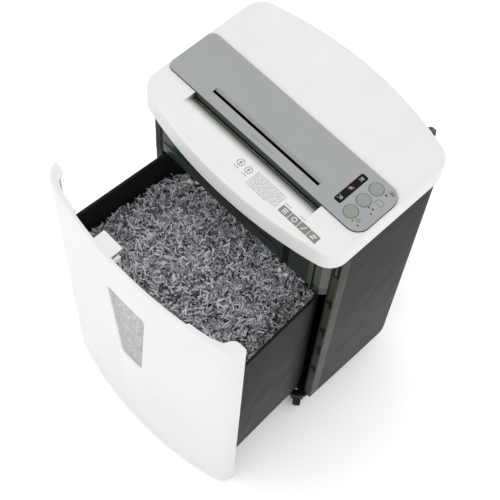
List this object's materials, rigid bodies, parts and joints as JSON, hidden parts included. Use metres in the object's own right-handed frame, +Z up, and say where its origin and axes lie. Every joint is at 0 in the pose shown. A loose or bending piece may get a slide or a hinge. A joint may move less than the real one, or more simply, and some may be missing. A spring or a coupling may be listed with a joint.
{
  "type": "deskside paper shredder",
  "caption": "Deskside paper shredder: feed slot and buttons on a bowed lid, geared cutters under it, and a pull-out bin full of shreds behind a windowed front, on swivel casters.",
  "frame": {"origin": "on the floor, at the middle of the box around the shredder with its drawer pulled out, without the mains lead", "axes": "+X to the operator's right along the feed slot, -Y to the front where the drawer comes out, +Z up"},
  "size_m": [0.411, 0.6681, 0.6617],
  "materials": {
    "back_button": "grey plastic key",
    "back_panel": "charcoal plastic with a fine moulded grain",
    "base_tray": "black moulded plastic",
    "bin": "dark grey plastic",
    "caster_fork_front_left": "black moulded plastic",
    "caster_fork_front_right": "black moulded plastic",
    "caster_fork_rear_left": "black moulded plastic",
    "caster_fork_rear_right": "black moulded plastic",
    "caster_wheel_front_left": "black caster wheel",
    "caster_wheel_front_right": "black caster wheel",
    "caster_wheel_rear_left": "black caster wheel",
    "caster_wheel_rear_right": "black caster wheel",
    "circuit_board": "green circuit board",
    "cord_boot": "black moulded plastic",
    "cord_coil": "black moulded plastic",
    "cord_tail": "black moulded plastic",
    "display_window": "black glossy display cover",
    "door_switch": "black moulded plastic",
    "drawer_front": "white moulded plastic, satin",
    "feed_panel": "mid grey plastic, satin",
    "front_button": "grey plastic key",
    "front_cutter": "plain steel",
    "front_cutter_gear": "plain steel",
    "front_feed_guide": "plain steel",
    "front_stripper": "plain steel",
    "front_tie_rod": "plain steel",
    "gear_plate": "plain steel",
    "head_housing": "black moulded plastic",
    "idler_gear": "plain steel",
    "interlock_tab": "white moulded plastic, satin",
    "left_bearing_plate": "plain steel",
    "left_glide": "natural nylon",
    "left_runner": "plain steel",
    "left_side_panel": "charcoal plastic with a fine moulded grain",
    "left_tray_screw": "plain steel",
    "mains_plug": "black moulded plastic",
    "middle_button": "grey plastic key",
    "motor": "black painted steel can",
    "motor_pinion": "plain steel",
    "power_cord": "black moulded plastic",
    "power_rocker": "black moulded plastic",
    "rear_cutter": "plain steel",
    "rear_cutter_gear": "plain steel",
    "rear_feed_guide": "plain steel",
    "rear_stripper": "plain steel",
    "rear_tie_rod": "plain steel",
    "right_glide": "natural nylon",
    "right_runner": "plain steel",
    "right_side_panel": "charcoal plastic with a fine moulded grain",
    "right_tray_screw": "plain steel",
    "shredded_paper": "loose shredded paper",
    "switch_bezel": "black moulded plastic",
    "top_lid": "white moulded plastic, satin",
    "window_pane": "smoked clear plastic"
  },
  "bodies": {
    "cabinet": {"back_panel": "back_panel", "base_tray": "base_tray", "circuit_board": "circuit_board", "cord_boot": "cord_boot", "cord_coil": "cord_coil", "cord_tail": "cord_tail", "display_window": "display_window", "door_switch": "door_switch", "feed_panel": "feed_panel", "front_feed_guide": "front_feed_guide", "front_stripper": "front_stripper", "front_tie_rod": "front_tie_rod", "gear_plate": "gear_plate", "head_housing": "head_housing", "left_bearing_plate": "left_bearing_plate", "left_runner": "left_runner", "left_side_panel": "left_side_panel", "left_tray_screw": "left_tray_screw", "mains_plug": "mains_plug", "motor": "motor", "power_cord": "power_cord", "rear_feed_guide": "rear_feed_guide", "rear_stripper": "rear_stripper", "rear_tie_rod": "rear_tie_rod", "right_runner": "right_runner", "right_side_panel": "right_side_panel", "right_tray_screw": "right_tray_screw", "switch_bezel": "switch_bezel", "top_lid": "top_lid"},
    "drawer": {"drawer_front": "drawer_front", "window_pane": "window_pane", "interlock_tab": "interlock_tab", "bin": "bin", "shredded_paper": "shredded_paper", "left_glide": "left_glide", "right_glide": "right_glide"},
    "front_button": {"front_button": "front_button"},
    "middle_button": {"middle_button": "middle_button"},
    "back_button": {"back_button": "back_button"},
    "front_cutter": {"front_cutter": "front_cutter", "front_cutter_gear": "front_cutter_gear"},
    "rear_cutter": {"rear_cutter": "rear_cutter", "rear_cutter_gear": "rear_cutter_gear"},
    "idler": {"idler_gear": "idler_gear"},
    "pinion": {"motor_pinion": "motor_pinion"},
    "power_rocker": {"power_rocker": "power_rocker"},
    "fork_front_left": {"caster_fork_front_left": "caster_fork_front_left"},
    "wheel_front_left": {"caster_wheel_front_left": "caster_wheel_front_left"},
    "fork_front_right": {"caster_fork_front_right": "caster_fork_front_right"},
    "wheel_front_right": {"caster_wheel_front_right": "caster_wheel_front_right"},
    "fork_rear_left": {"caster_fork_rear_left": "caster_fork_rear_left"},
    "wheel_rear_left": {"caster_wheel_rear_left": "caster_wheel_rear_left"},
    "fork_rear_right": {"caster_fork_rear_right": "caster_fork_rear_right"},
    "wheel_rear_right": {"caster_wheel_rear_right": "caster_wheel_rear_right"}
  },
  "joints": [
    {"name": "drawer_slide", "type": "slide", "parent": "cabinet", "child": "drawer", "axis": [0, -1, 0], "range_m": [-0.192, 0.02]},
    {"name": "front_button_press", "type": "slide", "parent": "cabinet", "child": "front_button", "axis": [0, 0, -1], "range_m": [0, 0.0015], "stiffness_N_per_m": 600},
    {"name": "middle_button_press", "type": "slide", "parent": "cabinet", "child": "middle_button", "axis": [0, 0, -1], "range_m": [0, 0.0015], "stiffness_N_per_m": 600},
    {"name": "back_button_press", "type": "slide", "parent": "cabinet", "child": "back_button", "axis": [0, 0, -1], "range_m": [0, 0.0015], "stiffness_N_per_m": 600},
    {"name": "rear_cutter_spin", "type": "hinge", "parent": "cabinet", "child": "rear_cutter", "pos_m": [-0.007, 0.053, 0.575], "axis": [1, 0, 0], "continuous": true},
    {"name": "front_cutter_spin", "type": "hinge", "parent": "cabinet", "child": "front_cutter", "pos_m": [-0.007, 0.023, 0.575], "axis": [1, 0, 0], "continuous": true},
    {"name": "idler_spin", "type": "hinge", "parent": "cabinet", "child": "idler", "pos_m": [0.119, 0.096, 0.575], "axis": [1, 0, 0], "continuous": true},
    {"name": "pinion_spin", "type": "hinge", "parent": "cabinet", "child": "pinion", "pos_m": [0.119, 0.136, 0.575], "axis": [1, 0, 0], "continuous": true},
    {"name": "power_rocker_tilt", "type": "hinge", "parent": "cabinet", "child": "power_rocker", "pos_m": [-0.11, 0.2309, 0.59], "axis": [1, 0, 0], "range_deg": [-16, 0]},
    {"name": "swivel_front_left", "type": "hinge", "parent": "cabinet", "child": "fork_front_left", "pos_m": [-0.17, -0.0005, 0.057], "axis": [0, 0, 1], "continuous": true},
    {"name": "roll_front_left", "type": "hinge", "parent": "fork_front_left", "child": "wheel_front_left", "pos_m": [-0.17, -0.0085, 0.02], "axis": [1, 0, 0], "continuous": true},
    {"name": "swivel_front_right", "type": "hinge", "parent": "cabinet", "child": "fork_front_right", "pos_m": [0.17, -0.0005, 0.057], "axis": [0, 0, 1], "continuous": true},
    {"name": "roll_front_right", "type": "hinge", "parent": "fork_front_right", "child": "wheel_front_right", "pos_m": [0.17514, -0.00663, 0.02], "axis": [0.766, 0.6428, 0], "continuous": true},
    {"name": "swivel_rear_left", "type": "hinge", "parent": "cabinet", "child": "fork_rear_left", "pos_m": [-0.17, 0.1775, 0.057], "axis": [0, 0, 1], "continuous": true},
    {"name": "roll_rear_left", "type": "hinge", "parent": "fork_rear_left", "child": "wheel_rear_left", "pos_m": [-0.16726, 0.16998, 0.02], "axis": [0.9397, 0.342, 0], "continuous": true},
    {"name": "swivel_rear_right", "type": "hinge", "parent": "cabinet", "child": "fork_rear_right", "pos_m": [0.17, 0.1775, 0.057], "axis": [0, 0, 1], "continuous": true},
    {"name": "roll_rear_right", "type": "hinge", "parent": "fork_rear_right", "child": "wheel_rear_right", "pos_m": [0.17, 0.1695, 0.02], "axis": [1, 0, 0], "continuous": true}
  ],
  "couplings": [
    {"joint": "front_cutter_spin", "follows": "rear_cutter_spin", "ratio": -1},
    {"joint": "idler_spin", "follows": "rear_cutter_spin", "ratio": -0.53571},
    {"joint": "pinion_spin", "follows": "rear_cutter_spin", "ratio": 1.25}
  ]
}
